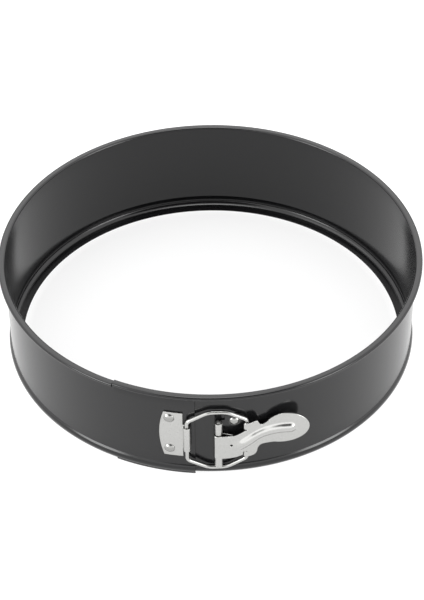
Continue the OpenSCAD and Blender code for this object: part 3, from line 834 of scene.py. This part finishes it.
def leverSurface(places, height, curls, step=0.001):
    u, z = places[:, 0], places[:, 1]
    here = leverMiddle(u, z, curls)
    along = leverMiddle(u + step, z, curls) - here
    upward = leverMiddle(u, z + step, curls) - here
    facing = np.cross(along, upward)
    return here + facing / np.linalg.norm(facing, axis=1)[:, None] * height


def onHook(places):
    u, z = places[:, 0], places[:, 1]
    lowHook, highHook = lever["hooks"]
    slit = lever["slit"] / 2
    before = (u < lever["hookS"]) & (u > lever["hookStart"] - lever["hookMargin"])
    return before & ((z < lowHook[1] + slit) | (z > highHook[0] - slit))


# Triangles over the flat part of the blank, inside the rounded edges of its outline and its eye
def leverBlank(loops):
    edges, points = [], []
    for loop, sides in loops:
        first = len(points)
        points += list(loop - sides * lever["edgeRound"])
        edges += [(first + i, first + (i + 1) % len(loop)) for i in range(len(loop))]
    rim = np.array(points)
    outline, size = loops[0][0], lever["mesh"]
    outer, hole = rim[:len(outline)], rim[len(outline):]
    low, high = outline.min(0), outline.max(0)
    rows = np.arange(low[1], high[1], size * lever["rowShare"])
    inner = np.array([(u + (i % 2) * size / 2, z) for i, z in enumerate(rows)
                      for u in np.arange(low[0], high[0], size)])
    clear = insideLoop(outer, inner) & ~insideLoop(hole, inner)
    clear &= gapToLoop(rim, inner) > size * lever["edgeShare"]
    flat = [Vector(p) for p in np.concatenate([rim, inner[clear]])]
    insideEdges = 1             # the kind of result: triangles inside the given edges
    verts, _, tris, origins, _, _ = delaunay_2d_cdt(flat, edges, [], insideEdges, lever["weld"])
    blank = np.array([tuple(p) for p in verts])
    middles = np.array([blank[list(tri)].mean(0) for tri in tris])
    kept = insideLoop(outer, middles) & ~insideLoop(hole, middles)
    tris = [tuple(tri) for tri, keep in zip(tris, kept) if keep]
    found = {origin: i for i, group in enumerate(origins) for origin in group}
    return blank, tris, found


def makeLever():
    around = np.radians(np.arange(360, 0, -lever["eyeStep"]))
    eye = np.array(lever["eye"]) + np.stack([np.cos(around), np.sin(around)], 1) * lever["eyeD"] / 2
    loops = [(loop, outwardNormals(loop)) for loop in (softOutline(leverOutline()), eye)]
    blank, tris, found = leverBlank(loops)
    count, half, edge = len(blank), lever["sheet"] / 2, lever["edgeRound"]
    shape = [leverSurface(blank, side * half, onHook(blank)) for side in (1, -1)]
    faces = tris + [tuple(i + count for i in tri[::-1]) for tri in tris]
    profile = [(math.cos(a), half - edge * (1 - math.sin(a))) for a in np.radians(lever["edgeBends"])]
    profile += [(across, -height) for across, height in profile[::-1]]
    first, total = 0, 2 * count
    for loop, sides in loops:
        top = [found[first + i] for i in range(len(loop))]
        base = loop - sides * edge
        rings = [top]
        for across, height in profile:
            shape.append(leverSurface(base + sides * edge * across, height, onHook(base)))
            rings.append(list(range(total, total + len(loop))))
            total += len(loop)
        rings.append([i + count for i in top])
        for upper, lower in zip(rings, rings[1:]):
            faces += [(upper[i - 1], lower[i - 1], lower[i], upper[i]) for i in range(len(loop))]
        first += len(loop)
    piece = meshPiece("latchLever", np.concatenate(shape) * mm, faces, leverLook, lever["smoothAngle"])
    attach(piece, "lever")
    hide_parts("lever")


makeLever()
print("lever pressed")

# Latch wire: one loop of drawn wire with eight bends, hinged in the wire plate and laid in the hooks.
# An In is measured along the loop from the hinge, an Out from the hooks.
wire = {"diameter": 2.5, "bend": 4.0, "runBend": 12.0,
        "topZ": 54.0, "lowZ": 7.8, "hingeTop": 46.8, "hingeLow": 14.8, "hookTop": 47.3, "hookLow": 15.3,
        "topIn": 12.7, "topOut": 12.1, "lowIn": 12.9, "lowOut": 12.0,
        "sides": 24, "bendSteps": 10, "smoothAngle": 60.0}


def roundedLoop(corners, bends, steps):
    points = [np.array(c, float) for c in corners]
    path = []
    for before, here, after, bend in zip(points[-1:] + points[:-1], points, points[1:] + points[:1], bends):
        back = (before - here) / np.linalg.norm(before - here)
        ahead = (after - here) / np.linalg.norm(after - here)
        turn = math.acos(np.clip(-back @ ahead, -1, 1))
        middle = here + (back + ahead) / np.linalg.norm(back + ahead) * bend / math.cos(turn / 2)
        first = here + back * bend * math.tan(turn / 2) - middle
        last = here + ahead * bend * math.tan(turn / 2) - middle
        for share in np.linspace(0, 1, steps + 1):
            arc = first * math.sin((1 - share) * turn) + last * math.sin(share * turn)
            path.append(middle + arc / math.sin(turn))
    return path


def tubeTree():
    tree = bpy.data.node_groups.new("wireDrawn", "GeometryNodeTree")
    face = tree.interface
    face.new_socket("Route", in_out="INPUT", socket_type="NodeSocketGeometry")
    for name, kind in (("Radius", "Float"), ("Sides", "Int"), ("Finish", "Material")):
        face.new_socket(name, in_out="INPUT", socket_type="NodeSocket" + kind)
    face.new_socket("Mesh", in_out="OUTPUT", socket_type="NodeSocketGeometry")
    given = addNode(tree, "NodeGroupInput").outputs
    ring = addNode(tree, "GeometryNodeCurvePrimitiveCircle", {"Resolution": given["Sides"],
                                                              "Radius": given["Radius"]})
    drawn = addNode(tree, "GeometryNodeCurveToMesh", {"Curve": given["Route"],
                                                      "Profile Curve": ring.outputs[0]})
    real = addNode(tree, "GeometryNodeRealizeInstances", {"Geometry": drawn.outputs[0]})
    done = addNode(tree, "GeometryNodeSetMaterial", {"Geometry": real.outputs[0],
                                                     "Material": given["Finish"]})
    addNode(tree, "NodeGroupOutput", {0: done.outputs[0]})
    return tree


def wirePath():
    hinge = np.array(onWall(wirePlate["hingeX"], wirePlate["hingeR"]))
    hook = np.array(leverPlace(lever["hookS"], lever["hookT"]))
    span = np.linalg.norm(hook - hinge)
    ahead = (hook - hinge) / span
    corners = [(0, wire["hingeTop"]), (wire["topIn"], wire["topZ"]),
               (span - wire["topOut"], wire["topZ"]), (span, wire["hookTop"]),
               (span, wire["hookLow"]), (span - wire["lowOut"], wire["lowZ"]),
               (wire["lowIn"], wire["lowZ"]), (0, wire["hingeLow"])]
    ends, runs = wire["bend"], wire["runBend"]
    loop = roundedLoop(corners, (ends, runs, runs, ends) * 2, wire["bendSteps"])
    return [(*(hinge + ahead * along), z) for along, z in loop]


def makeWire():
    path = wirePath()
    curve = bpy.data.curves.new("latchWire", "CURVE")
    curve.dimensions = "3D"
    spline = curve.splines.new("POLY")
    spline.points.add(len(path) - 1)
    for point, (x, y, z) in zip(spline.points, path):
        point.co = (x * mm, y * mm, z * mm, 1)
    spline.use_cyclic_u = True
    piece = bpy.data.objects.new("latchWire", curve)
    scene.collection.objects.link(piece)
    tube = piece.modifiers.new("drawn", "NODES")
    tube.node_group = tubeTree()
    setInput(tube, "Radius", wire["diameter"] / 2 * mm)
    setInput(tube, "Sides", wire["sides"])
    setInput(tube, "Finish", wireLook)
    piece = settle(piece, wireLook, wire["smoothAngle"])
    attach(piece, "wire")
    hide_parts("latch_wire")


makeWire()
print("wire bent")
